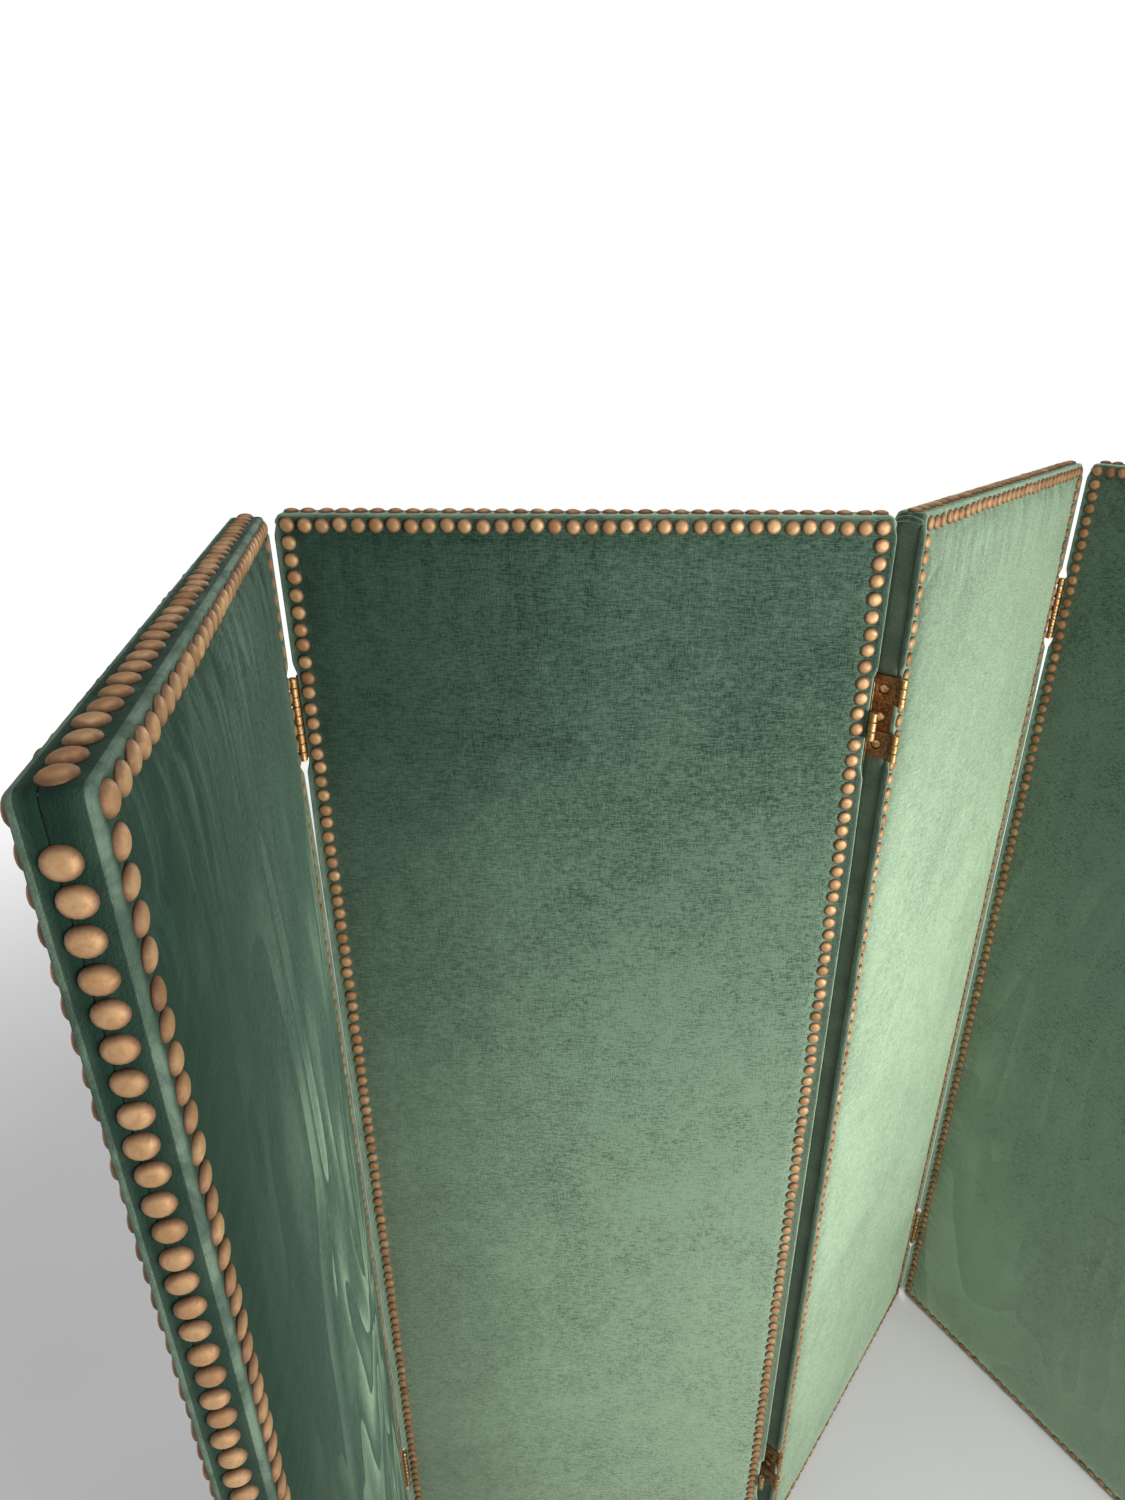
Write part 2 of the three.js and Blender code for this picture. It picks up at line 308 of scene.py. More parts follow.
class Graph:
    """A material's nodes. A value is a number, a tuple or another node's output."""

    def __init__(self, name):
        self.material = bpy.data.materials.new(name)
        self.material.use_nodes = True
        self.nodes = self.material.node_tree.nodes
        self.nodes.clear()
        output = self.nodes.new("ShaderNodeOutputMaterial")
        self.shader = self.nodes.new("ShaderNodeBsdfPrincipled")
        self.feed(self.shader.outputs["BSDF"], output.inputs["Surface"])

    def feed(self, value, target):
        if isinstance(value, (int, float, tuple)):
            target.default_value = value
        else:
            self.material.node_tree.links.new(value, target)

    def give(self, name, value):
        """Sets or wires one of the shader's inputs."""
        self.feed(value, self.shader.inputs[name])

    def node(self, kind, inputs, **settings):
        node = self.nodes.new(kind)
        for key, value in settings.items():
            setattr(node, key, value)
        for key, value in inputs.items():
            self.feed(value, node.inputs[key])
        return node

    def attribute(self, name, output="Fac"):
        return self.node("ShaderNodeAttribute", {}, attribute_name=name).outputs[output]

    def object_place(self):
        return self.node("ShaderNodeTexCoord", {}).outputs["Object"]

    def math(self, operation, a, b=0.0, clamp=False):
        return self.node("ShaderNodeMath", {0: a, 1: b}, operation=operation, use_clamp=clamp).outputs[0]

    def times(self, a, b, clamp=False):
        return self.math("MULTIPLY", a, b, clamp)

    def plus(self, a, b, clamp=False):
        return self.math("ADD", a, b, clamp)

    def minus(self, a, b):
        return self.math("SUBTRACT", a, b)

    def scaled(self, vector, scale):
        return self.node("ShaderNodeMapping", {"Vector": vector, "Scale": scale}).outputs["Vector"]

    def noise(self, vector, scale, detail, roughness=0.55, distortion=0.0):
        inputs = {"Vector": vector, "Scale": scale, "Detail": detail}
        inputs.update({"Roughness": roughness, "Distortion": distortion})
        return self.node("ShaderNodeTexNoise", inputs).outputs["Fac"]

    def ramp(self, value, low, high, to_low=0.0, to_high=1.0):
        """A smooth step from to_low to to_high, as value goes from low to high."""
        inputs = {"Value": value, "From Min": low, "From Max": high, "To Min": to_low, "To Max": to_high}
        return self.node("ShaderNodeMapRange", inputs, interpolation_type="SMOOTHSTEP").outputs["Result"]

    def mix(self, factor, a, b):
        """A colour between a and b. The node's inputs 6 and 7 and its output 2 are its colours."""
        return self.node("ShaderNodeMix", {"Factor": factor, 6: a, 7: b}, data_type="RGBA").outputs[2]

    def bump(self, height, distance, strength, normal=None):
        inputs = {"Height": height, "Distance": distance, "Strength": strength}
        if normal is not None:
            inputs["Normal"] = normal
        return self.node("ShaderNodeBump", inputs).outputs["Normal"]


def velvet_fibre(g, place):
    """The weave under the pile: fine noise drawn out across, upwards and not at all."""
    weft = g.ramp(g.noise(g.scaled(place, (0.15, 1, 1)), 940.0, 2.0, 0.6), 0.36, 0.64)
    warp = g.ramp(g.noise(g.scaled(place, (1, 1, 0.20)), 940.0, 2.0, 0.6), 0.36, 0.64)
    grain = g.ramp(g.noise(place, 900.0, 2.0, 0.7), 0.36, 0.64)
    return g.plus(g.plus(g.times(weft, 0.44), g.times(warp, 0.30)), g.times(grain, 0.26))


def velvet_tone(g, place, across, up, nap, fibre, brushed, pulled, painted_light_sweep):
    """How light the velvet is from point to point, from 0 to 1. Painted light and shade are in it: lighter
    or darker from left to right, darker towards the top, and painted shade beside the nails and over the
    turned edges.
    """
    broad = g.ramp(g.noise(place, 4.2, 3.0, 0.6, 0.6), 0.32, 0.68)
    streak = g.ramp(g.noise(g.scaled(place, (1, 1, 0.06)), 46.0, 3.0, 0.6, 0.6), 0.30, 0.76)
    tone = g.plus(g.times(broad, 0.18), g.times(nap, 0.14))
    tone = g.plus(tone, g.times(fibre, 0.90))
    tone = g.plus(tone, g.times(streak, 0.16 * brushed))
    tone = g.minus(tone, 0.155)
    # Painted light: each panel is made lighter or darker from its left to its right.
    tone = g.times(tone, g.ramp(across, 0.0, 0.65, *painted_light_sweep))
    # Painted shade: darker towards the top.
    tone = g.times(tone, g.ramp(up, 0.65, 1.0, 1.30, 0.72))
    pulls = g.noise(g.scaled(place, (1, 1, 0.10)), 110.0, 2.0, 0.6, 0.3)
    tone = g.plus(tone, g.times(g.minus(pulls, 0.5), g.ramp(up, 0.90, 0.985, 0.0, pulled)))
    # Painted shade beside the nails and over the velvet turned round the edges.
    tone = g.minus(tone, g.times(g.attribute("border"), g.ramp(nap, 0.2, 0.8, 0.05, 0.20)))
    return g.plus(tone, g.times(g.attribute("pressed"), 0.16), clamp=True)


def hand_strokes(g, place, across, up, stroked):
    """Marks left by a hand: bands with one sharp and one soft side, mostly low down."""
    bend = g.noise(g.scaled(place, (1, 1, 0.30)), 5.0, 1.5, 0.45, 1.6)
    band_place = g.math("FRACT", g.times(bend, 6.0))
    sharp = g.ramp(band_place, 0.0, 0.05)
    soft = g.math("POWER", g.minus(1.0, band_place), 1.8)
    patchy = g.ramp(g.noise(g.scaled(place, (1, 1, 0.6)), 7.0, 2.0), 0.36, 0.60)
    here = g.times(g.ramp(across, 0.05, 0.55, *stroked), g.ramp(up, 0.68, 0.98, 1.0, 0.15))
    return g.times(g.times(sharp, soft), g.times(patchy, here))


def velvet_material(name, brushed, pulled, marks, stroked, glancing_sheen, painted_light_sweep, tint):
    """Cotton velvet. VELVETS says what each value means, in the same order."""
    g = Graph(name)
    place = g.attribute("place", "Vector")
    across, up = g.attribute("across"), g.attribute("up")
    nap = g.ramp(g.noise(g.scaled(place, (1, 1, 0.7)), 42.0, 4.0, 0.65, 0.5), 0.32, 0.70)
    fibre = velvet_fibre(g, place)
    tone = velvet_tone(g, place, across, up, nap, fibre, brushed, pulled, painted_light_sweep)
    light = tuple(value * share for value, share in zip(VELVET_LIGHT, (*tint, 1)))
    rubbed = g.times(g.attribute("worn"), g.ramp(nap, 0.0, 1.0, 0.18, 0.50))
    body = g.mix(rubbed, g.mix(tone, VELVET_DARK, light), VELVET_RUBBED)
    # Painted sheen: the colour is painted pale at a glancing angle, more so along the hand strokes, which
    # are real marks in the pile.
    facing = g.node("ShaderNodeLayerWeight", {"Blend": 0.5}).outputs["Facing"]
    painted_sheen_strength = g.plus(g.times(hand_strokes(g, place, across, up, stroked), 0.52 * marks), glancing_sheen)
    painted_sheen = g.times(g.math("POWER", facing, 1.6), painted_sheen_strength)
    uneven = g.plus(g.times(tone, 0.9), 0.5)
    g.give("Base Color", g.mix(g.times(painted_sheen, uneven, clamp=True), body, VELVET_PAINTED_SHEEN))
    g.give("Roughness", g.ramp(tone, 0.0, 1.0, 0.95, 0.78))
    g.give("Specular IOR Level", 0.15)
    g.give("Sheen Weight", 0.04 + 0.5 * glancing_sheen)
    g.give("Sheen Roughness", 0.35)
    g.give("Sheen Tint", (0.74, 0.92, 0.70, 1))
    g.give("Normal", g.bump(nap, 0.0005, 0.5, g.bump(fibre, 0.0004, 0.8)))
    return g.material


def tape_material():
    """Woven tape, ribbed across, with painted light on its ribs and painted shade in its hollows."""
    g = Graph("ribbed_tape")
    place = g.attribute("place", "Vector")
    thread = g.ramp(g.noise(g.scaled(place, (1, 1, 2.5)), 700.0, 2.0), 0.3, 0.7)
    wear = g.ramp(g.noise(place, 26.0, 4.0, 0.6), 0.35, 0.7)
    tone = g.plus(g.times(thread, 0.30), g.times(wear, 0.35))
    # Painted light and shade: lighter on each rib, darker between them.
    tone = g.plus(tone, g.times(g.attribute("rib"), 0.40))
    g.give("Base Color", g.mix(tone, (0.022, 0.043, 0.027, 1), (0.135, 0.185, 0.120, 1)))
    g.give("Roughness", g.ramp(thread, 0.0, 1.0, 0.85, 0.7))
    g.give("Sheen Weight", 0.3)
    g.give("Sheen Tint", (0.6, 0.85, 0.7, 1))
    g.give("Normal", g.bump(thread, 0.0002, 0.7))
    return g.material


def nail_material():
    """Antique brass nails: each has its own tone, a rim darkened brown, partly patina and partly painted
    shade, and fine scuffs.
    """
    g = Graph("antique_nail")
    place = g.attribute("place", "Vector")
    rim = g.ramp(g.attribute("rim"), 0.55, 1.0)
    stain = g.ramp(g.noise(place, 260.0, 4.0, 0.65, 0.5), 0.35, 0.7)
    scuff = g.noise(g.scaled(place, (1, 1, 6)), 1600.0, 2.0)
    bright = g.mix(g.attribute("tone"), (0.36, 0.192, 0.084, 1), (0.62, 0.40, 0.205, 1))
    aged = g.mix(g.times(stain, 0.42), bright, (0.25, 0.130, 0.062, 1))
    # Partly patina and partly painted shade: each nail's rim is darkened brown.
    g.give("Base Color", g.mix(g.times(rim, 0.78), aged, (0.090, 0.042, 0.022, 1)))
    g.give("Metallic", g.ramp(rim, 0.0, 1.0, 0.60, 0.5))
    g.give("Roughness", g.plus(g.ramp(stain, 0.0, 1.0, 0.54, 0.66), g.times(rim, 0.10)))
    g.give("Normal", g.bump(scuff, 0.00004, 0.5, g.bump(stain, 0.00012, 0.5)))
    return g.material


def brass_material(name, dark, light, low_rough, high_rough):
    """Brushed and stained brass. BRASSES says what each value means."""
    g = Graph(name)
    place = g.object_place()
    stain = g.ramp(g.noise(place, 320.0, 4.0, 0.65, 0.8), 0.32, 0.72)
    brushed = g.noise(g.scaled(place, (1, 1, 14)), 700.0, 2.0)
    g.give("Base Color", g.mix(stain, dark, light))
    g.give("Metallic", 0.9)
    g.give("Roughness", g.ramp(stain, 0.0, 1.0, high_rough, low_rough))
    g.give("Normal", g.bump(brushed, 0.00004, 0.6, g.bump(stain, 0.00015, 0.4)))
    return g.material


def timber_material():
    """Planed softwood, with rings and fibres drawn out along its height."""
    g = Graph("planed_softwood")
    place = g.object_place()
    inputs = {"Vector": g.scaled(place, (1, 1, 0.05)), "Scale": 26.0, "Distortion": 5.0, "Detail": 3.0}
    rings = g.node("ShaderNodeTexWave", inputs, wave_type="RINGS").outputs["Fac"]
    fibre = g.noise(g.scaled(place, (1, 1, 0.03)), 900.0, 2.0)
    tone = g.plus(g.times(rings, 0.6), g.times(fibre, 0.4))
    g.give("Base Color", g.mix(tone, (0.36, 0.22, 0.105, 1), (0.62, 0.44, 0.25, 1)))
    g.give("Roughness", g.ramp(tone, 0.0, 1.0, 0.7, 0.55))
    g.give("Normal", g.bump(fibre, 0.0001, 0.5))
    return g.material


# ---- Covers: padded velvet, nailed down round its border ----


def nail_spaces(length):
    return round((length - 2 * NAIL_INSET) / NAIL_PITCH)


def nail_line(length, parts=1):
    """Evenly spaced places from the first nail to the last, with so many parts to a nail space."""
    return np.linspace(NAIL_INSET, length - NAIL_INSET, parts * nail_spaces(length) + 1)


def grid_lines(length):
    """Grid lines over a cover: close together at the rounded edge, then four to a nail space."""
    return np.concatenate([EDGE_LINES, nail_line(length, 4), (length - EDGE_LINES)[::-1]])


def from_edges(x, z, width):
    """How far points are from a face's nearer side, and from its nearer end."""
    return np.minimum(x, width - x), np.minimum(z, HEIGHT - z)


def rounded_plan(x, z, width):
    """A grid's x, z and distance from the edge, with its corners moved onto a rounded outline."""
    off_side, off_end = from_edges(x, z, width)
    a = np.clip(1 - off_side / CORNER_ROUND, 0, 1)
    b = np.clip(1 - off_end / CORNER_ROUND, 0, 1)
    round_a, round_b = a * np.sqrt(1 - b * b / 2), b * np.sqrt(1 - a * a / 2)
    corner = (a > 0) & (b > 0)
    new_x = np.where(corner, CORNER_ROUND * (1 - round_a), off_side)
    new_z = np.where(corner, CORNER_ROUND * (1 - round_b), off_end)
    from_corner = CORNER_ROUND * (1 - np.hypot(round_a, round_b))
    reach = np.where(corner, from_corner, np.minimum(off_side, off_end))
    new_x = np.where(x > width / 2, width - new_x, new_x)
    new_z = np.where(z > HEIGHT / 2, HEIGHT - new_z, new_z)
    return new_x, new_z, np.maximum(reach, 0)


def blend(values, i, j, s, t):
    """A grid's values, s of the way from column i to the next and t of the way from row j."""
    low = values[j, i] * (1 - s) + values[j, i + 1] * s
    high = values[j + 1, i] * (1 - s) + values[j + 1, i + 1] * s
    return low * (1 - t) + high * t


def smooth_noise(rng, x, z, cell_x, cell_z, width):
    """Random heights from -1 to 1 on a coarse lattice, smoothly interpolated."""
    lattice = rng.uniform(-1, 1, (int(HEIGHT / cell_z) + 4, int(width / cell_x) + 4))
    u, v = x / cell_x, z / cell_z
    i, j = u.astype(int), v.astype(int)
    s, t = u - i, v - j
    return blend(lattice, i, j, s * s * (3 - 2 * s), t * t * (3 - 2 * t))


def sample(field, x, z):
    """A field of (xs, zs, values) read at x and z. Its xs and zs are evenly spaced from 0."""
    xs, zs, values = field
    u, v = (np.clip(at / line[1], 0, len(line) - 1.001) for at, line in ((x, xs), (z, zs)))
    i, j = u.astype(int), v.astype(int)
    return blend(values, i, j, u - i, v - j)


def off_nail(place, length):
    """How far a place along a row is from the row's nearest nail."""
    pitch = (length - 2 * NAIL_INSET) / nail_spaces(length)
    return np.abs((place - NAIL_INSET + pitch / 2) % pitch - pitch / 2)


def held_by_nails(x, z, width):
    """Which points of a sheet can't move: its rim, and a patch under each border nail."""
    off_side, off_end = from_edges(x, z, width)
    reach = np.minimum(off_side, off_end)
    inside_nails = NAIL_INSET + 3 * MM
    off = np.where(off_side < inside_nails, off_nail(z, HEIGHT), off_nail(x, width))
    return (reach < 6 * MM) | ((reach < inside_nails) & (off < 4 * MM))


def cloth_swell(width, seed):
    """How far each point of a sheet that is held at its nails rises under pressure."""
    nx, nz = round(width / CLOTH_STEP) + 1, round(HEIGHT / CLOTH_STEP) + 1
    xs, zs = np.linspace(0, width, nx), np.linspace(0, HEIGHT, nz)
    x, z = np.meshgrid(xs, zs)
    y = 0.15 * MM * np.random.default_rng(seed).uniform(-1, 1, x.shape)
    points = np.stack([x, y, z], -1).reshape(-1, 3)
    sheet = make_object("velvet_under_test", points, grid_faces(nx, nz))
    held = held_by_nails(x.ravel(), z.ravel(), width)
    group = sheet.vertex_groups.new(name="nailed")
    group.add(np.flatnonzero(held).tolist(), 1.0, "REPLACE")
    cloth = sheet.modifiers.new("cloth", "CLOTH")
    for key, value in CLOTH_SETTINGS.items():
        setattr(cloth.settings, key, value)
    cloth.settings.effector_weights.gravity = 0
    cloth.collision_settings.use_collision = False
    for number in range(1, CLOTH_FRAMES + 1):
        bpy.context.scene.frame_set(number)
    settled = sheet.evaluated_get(bpy.context.evaluated_depsgraph_get())
    after = np.array([v.co for v in settled.data.vertices])
    risen = (points[:, 1] - after[:, 1]).reshape(nz, nx)
    bpy.data.objects.remove(sheet)
    bpy.context.scene.frame_set(1)
    return xs, zs, risen


def plain_swell(width):
    xs, zs = np.linspace(0, width, 60), np.linspace(0, HEIGHT, 160)
    reach = np.minimum(*from_edges(*np.meshgrid(xs, zs), width))
    return xs, zs, 6 * MM * np.clip((reach - NAIL_INSET) / (70 * MM), 0, 1)


def wander(rng, count, spread, limit):
    """How far hand-driven nails are off their places. spread and limit are in mm."""
    return np.clip(rng.normal(0, spread, count), -limit, limit) * MM


def nail_places(width, rng):
    """Border nail centres and which way each one's row runs. They wander along and across it."""
    places = []
    for z in (NAIL_INSET, HEIGHT - NAIL_INSET):
        places += [(x, z, 1, 0) for x in nail_line(width)]
    for x in (NAIL_INSET, width - NAIL_INSET):
        places += [(x, z, 0, 1) for z in nail_line(HEIGHT)[1:-1]]
    places = np.array(places)
    along = wander(rng, len(places), 0.45, 0.9)
    aside = wander(rng, len(places), 0.4, 0.9)
    x = places[:, 0] + along * places[:, 2] + aside * places[:, 3]
    z = places[:, 1] + along * places[:, 3] + aside * places[:, 2]
    return np.stack([x, z], 1), places[:, 2:]


def crease(x, z, start, run, length, size, breadth=2.6 * MM):
    """A small fold in the velvet that runs from start along run and dies away over length."""
    along = Vector(run).normalized()
    total = np.zeros_like(x)
    dx, dz = x - start[0], z - start[1]
    near = (np.abs(dx) < 2.5 * length) & (np.abs(dz) < 2.5 * length)
    dx, dz = dx[near], dz[near]
    forth = dx * along.x + dz * along.y
    side = (-dx * along.y + dz * along.x) / (breadth + 0.05 * np.maximum(forth, 0))
    fade = np.clip(forth / (6 * MM), 0, 1) * np.exp(-np.maximum(forth, 0) / length)
    total[near] = size * np.exp(-side * side) * fade
    return total


def pull_lines(rng, x, z, places, directions, width):
    """Small folds that run inwards from some of the nails, and from more of them along the top."""
    total = np.zeros_like(x)
    for (px, pz), (along_x, _) in zip(places, directions):
        at_top = pz > HEIGHT - 2 * NAIL_INSET
        if rng.random() > (0.55 if at_top else 0.28):
            continue
        inward = (0, 1 if pz < HEIGHT / 2 else -1) if along_x else (1 if px < width / 2 else -1, 0)
        lean = rng.normal(0, 0.18 if at_top else 0.35)
        run = (inward[0] + lean * inward[1], inward[1] + lean * inward[0])
        length = rng.uniform(12, 50) * MM
        size = rng.uniform(0.12, 0.42) * MM * rng.choice([-1, 1])
        total += crease(x, z, (px, pz), run, length, size)
    return total


def padding(rng, x, z, reach, width, name, field, places, directions):
    """How far the velvet stands up: its padding, broad and small unevenness, pulls and folds."""
    limit = SWELLS.get(name, SWELL)
    swell = limit * np.tanh(np.maximum(sample(field, x, z), 0) / (1.1 * limit))
    swell += 0.25 * MM * smooth_noise(rng, x, z, 0.09, 0.14, width) * np.clip(reach / 0.03, 0, 1)
    swell += 0.08 * MM * smooth_noise(rng, x, z, 0.022, 0.03, width)
    swell += pull_lines(rng, x, z, places, directions, width)
    for fold in FOLDS.get(name, []):
        swell += crease(x, z, *fold)
    return swell


def nail_dimples(x, z, places):
    """1 under each nail and 0 away from them all."""
    pressed = np.zeros_like(x)
    far = 16 * MM
    for px, pz in places:
        near = (np.abs(x - px) < far) & (np.abs(z - pz) < far)
        gap = np.hypot(x[near] - px, z[near] - pz)
        pressed[near] = np.maximum(pressed[near], np.exp(-((gap / NAIL_PRESS_RADIUS) ** 4)))
    return pressed


def bead_weight(x, z, width, hinged):
    """Where a cover has a bead: 1 near its hinged edges, fading out before their ends, else 0."""
    side = np.where(x < width / 2, hinged[0], hinged[1])
    off_side, off_end = from_edges(x, z, width)
    weight = side * (off_side < off_end) * np.clip((off_end - 5 * MM) / (12 * MM), 0, 1)
    weight *= 1 - (1 - BEAD_AT_TOP) * np.clip((z - BEAD_TOP[0]) / (BEAD_TOP[1] - BEAD_TOP[0]), 0, 1)
    for low, high in HINGE_SPANS:
        off_hinge = np.maximum(low - z, z - high)
        weight *= BEAD_AT_HINGE + (1 - BEAD_AT_HINGE) * np.clip((off_hinge - 3 * MM) / (9 * MM), 0, 1)
    return weight


def boundary(nx, nz):
    """The indices of a grid's boundary points, anticlockwise from its lower left corner."""
    index = np.arange(nx * nz).reshape(nz, nx)
    return np.concatenate([index[0], index[1:, -1], index[-1, -2::-1], index[-2:0:-1, 0]]).tolist()


def turned_rings(face_edge, plain_x, seam, width):
    """Rings of points by which the velvet turns over the edge to the seam and the flat inside."""
    edge_y = face_edge[:, 1]
    outline = face_edge[:, [0, 2]]
    plain = np.stack([plain_x, face_edge[:, 2]], 1)
    bead_end = np.maximum(-TAPE_HALF_WIDTH - 1.3 * MM, edge_y + 0.2 * MM)
    tape_edge = np.maximum(-TAPE_HALF_WIDTH - 0.3 * MM, bead_end + 0.3 * MM)
    size = np.array([width, HEIGHT])
    soft = size / 2 + (plain - size / 2) * (1 - 2 * SEAM_ROUND / size)
    inner = size / 2 + (plain - size / 2) * (1 - 2 * LIP_DEPTH / size)
    rings = [
        (outline, bead_end),
        (plain, tape_edge),
        (plain, (tape_edge + seam) / 2),
        (plain, seam - SEAM_ROUND),
        (soft, seam),
        (inner, seam),
        (inner, -THICKNESS / 2 + COVER_DEPTH),
    ]
    return [np.stack([plan[:, 0], np.full(len(plan), level), plan[:, 1]], -1) for plan, level in rings]


def inside_faces(ring, nx, nz):
    """Closes a cover's flat inside with strips from its left edge to its right."""
    right = ring[nx - 1 : nx + nz - 1]
    left = [ring[0], *ring[: 2 * nx + nz - 4 : -1]]
    top = ring[nx + nz - 2 : 2 * nx + nz - 2]
    faces = [(left[1], right[1], *ring[nx - 1 :: -1])]
    faces += zip(left[1:-2], left[2:-1], right[2:-1], right[1:-2])
    faces.append((right[-2], left[-2], *top[::-1]))
    return faces


def face_points(flat_x, flat_z, plan, swell, width, hinged):
    """A cover's padded face, its edges rolled over and its hinged ones drawn out to a bead."""
    x, z, reach = plan
    bead = bead_weight(flat_x, flat_z, width, hinged)
    rounding = EDGE_ROUND + (BEAD_ROUND - EDGE_ROUND) * bead
    drop = rounding - np.sqrt(rounding**2 - (rounding - np.minimum(reach, rounding)) ** 2)
    bead = bead * np.exp(-((reach / BEAD_REACH) ** 2))
    outward = np.where(flat_x < width / 2, -1, 1)
    y = -THICKNESS / 2 + drop - swell * np.clip(reach / (5 * MM), 0, 1) - BEAD_PROUD * bead
    return np.stack([x + outward * BEAD_OUT * bead, y, z], -1).reshape(-1, 3)


def velvet_fields(reach, pressed, rings, count):
    """What the velvet's material reads at each point."""
    turned = np.zeros(rings * count)
    worn_there = np.repeat([0.7, 0.2] + [0.0] * (rings - 2), count)
    past_nails = np.maximum(reach - NAIL_INSET - 4 * MM, 0)
    return {
        "pressed": np.concatenate([pressed.ravel(), turned]),
        "worn": np.concatenate([np.exp(-((reach / WEAR_REACH) ** 2)).ravel(), worn_there]),
        # Painted shade: darker over the turned edges and fading out inside the nails.
        "border": np.concatenate([np.exp(-((past_nails / BORDER_SHADE_REACH) ** 2)).ravel(), turned + 1]),
    }


def cover_mesh(rng, width, name, seam, field, hinged, places, directions):
    """A closed cover: its padded face, the velvet turned over its edges, and its flat inside."""
    flat_x, flat_z = np.meshgrid(grid_lines(width), grid_lines(HEIGHT))
    nz, nx = flat_x.shape
    plan = rounded_plan(flat_x, flat_z, width)
    swell = padding(rng, *plan, width, name, field, places, directions)
    pressed = nail_dimples(*plan[:2], places)
    swell -= NAIL_PRESS * pressed
    face = face_points(flat_x, flat_z, plan, swell, width, hinged)
    ring = boundary(nx, nz)
    rings = turned_rings(face[ring], plan[0].ravel()[ring], seam, width)
    faces = grid_faces(nx, nz)
    count = len(ring)
    for start in range(nx * nz, nx * nz + len(rings) * count, count):
        following = list(range(start, start + count))
        faces += zip(ring, following, following[1:] + following[:1], ring[1:] + ring[:1])
        ring = following
    faces += inside_faces(ring, nx, nz)
    return np.concatenate([face, *rings]), faces, velvet_fields(plan[2], pressed, len(rings), count)


def nail_head():
    """One domed head, standing on z = 0 and closed a little below it: its points and faces."""
    sides, rings = 16, 5
    radius = NAIL_DIAMETER / 2
    points = [(0, 0, NAIL_HEIGHT)]
    for angle in np.linspace(math.pi / 2, 0, rings + 1)[1:]:
        up = NAIL_RIM + (NAIL_HEIGHT - NAIL_RIM) * math.sin(angle)
        points += [(x, y, up) for x, y in circle(radius * math.cos(angle), sides)]
    points += [(x, y, -0.5 * MM) for x, y in circle(0.97 * radius, sides)]
    faces = [(0, 1 + k, 1 + (k + 1) % sides) for k in range(sides)]
    for level in range(rings):
        faces += band(1 + level * sides, 1 + (level + 1) * sides, sides)
    last = 1 + rings * sides
    faces.append(tuple(last + k for k in range(sides))[::-1])
    return np.array(points), faces


def add_nails(name, panel, centres, normal, rng, material, nodes=()):
    """A row of nails as one piece, each tilted, turned and toned a little differently."""
    head, head_faces = nail_head()
    rims = np.hypot(head[:, 0], head[:, 1]) / (NAIL_DIAMETER / 2)
    points, faces, tones = [], [], []
    for number, centre in enumerate(centres):
        tilt = Vector(normal) + Vector(rng.normal(0, 0.045, 3))
        basis = tilt.normalized().to_track_quat("Z", "Y").to_matrix()
        basis = basis @ Matrix.Rotation(rng.uniform(0, TAU), 3, "Z")
        start = number * len(head)
        points.append(head @ np.array(basis).T + centre)
        faces += [tuple(start + i for i in face) for face in head_faces]
        tones.append(np.full(len(head), np.clip(rng.normal(0.5, 0.24), 0, 1)))
    points = np.concatenate(points)
    obj = make_object(name, points, faces, panel.matrix)
    rims = np.tile(rims, len(centres))
    add_attributes(obj, place=points + panel.seed, tone=np.concatenate(tones), rim=rims)
    finish_piece(obj, panel, nodes, [material])


def add_velvet(name, panel, points, faces, nodes, velvet, **fields):
    """A padded piece of a panel's velvet, with what its material reads."""
    obj = make_object(name, points, faces, panel.matrix)
    add_attributes(obj, across=points[:, 0] / panel.width, up=points[:, 2] / HEIGHT, **fields)
    finish_piece(obj, panel, nodes, [velvet])


def add_cover(panel, side, field, velvet, nail):
    """One face of a panel: its velvet cover, and the border of nails that holds it."""
    rear = side == "rear"
    rng = np.random.default_rng(panel.seed * 10 + rear)
    width = panel.width
    name = f"{panel.name}_{side}"
    seam = (-SEAM_Y if rear else SEAM_Y) - SEAM_GAP / 2
    hinged = [edge in panel.hinged for edge in (("right", "left") if rear else ("left", "right"))]
    places, directions = nail_places(width, rng)
    points, faces, fields = cover_mesh(rng, width, name, seam, field, hinged, places, directions)
    sunk = np.full(len(places), -THICKNESS / 2 + NAIL_SUNK)
    centres = np.stack([places[:, 0], sunk, places[:, 1]], 1)
    if rear:
        half_turn = Matrix.Translation((width, 0, 0)) @ Matrix.Rotation(math.pi, 4, "Z")
        points, centres = carry(points, half_turn), carry(centres, half_turn)
    place = points + panel.seed + 3 * rear
    add_velvet(f"{name}_velvet", panel, points, faces, [f"{name}_cover"], velvet, place=place, **fields)
    outward = (0.0, 1.0 if rear else -1.0, 0.0)
    add_nails(f"{name}_nails", panel, centres, outward, rng, nail, [f"{name}_cover"])


def add_edge_nails(panel, nail):
    """The nails along the middle of the top edge, and of an edge with no hinges."""
    rng = np.random.default_rng(panel.seed * 10 + 5)
    x = nail_line(panel.width)
    along, aside = wander(rng, len(x), 0.45, 0.8), wander(rng, len(x), 0.5, 1)
    centres = np.stack([x + along, aside, np.full(len(x), HEIGHT - EDGE_NAIL_SUNK)], 1)
    add_nails(f"{panel.name}_top_edge_nails", panel, centres, (0.0, 0.0, 1.0), rng, nail)
    for side in {"left", "right"} - set(panel.hinged):
        z = nail_line(HEIGHT)[1:-1]
        along, aside = wander(rng, len(z), 0.45, 0.8), wander(rng, len(z), 0.5, 1)
        edge = EDGE_NAIL_SUNK if side == "left" else panel.width - EDGE_NAIL_SUNK
        outward = (-1.0 if side == "left" else 1.0, 0.0, 0.0)
        centres = np.stack([np.full(len(z), edge), aside, z + along], 1)
        add_nails(f"{panel.name}_outer_edge_nails", panel, centres, outward, rng, nail)


# ---- Ribbed tape down each hinged edge ----


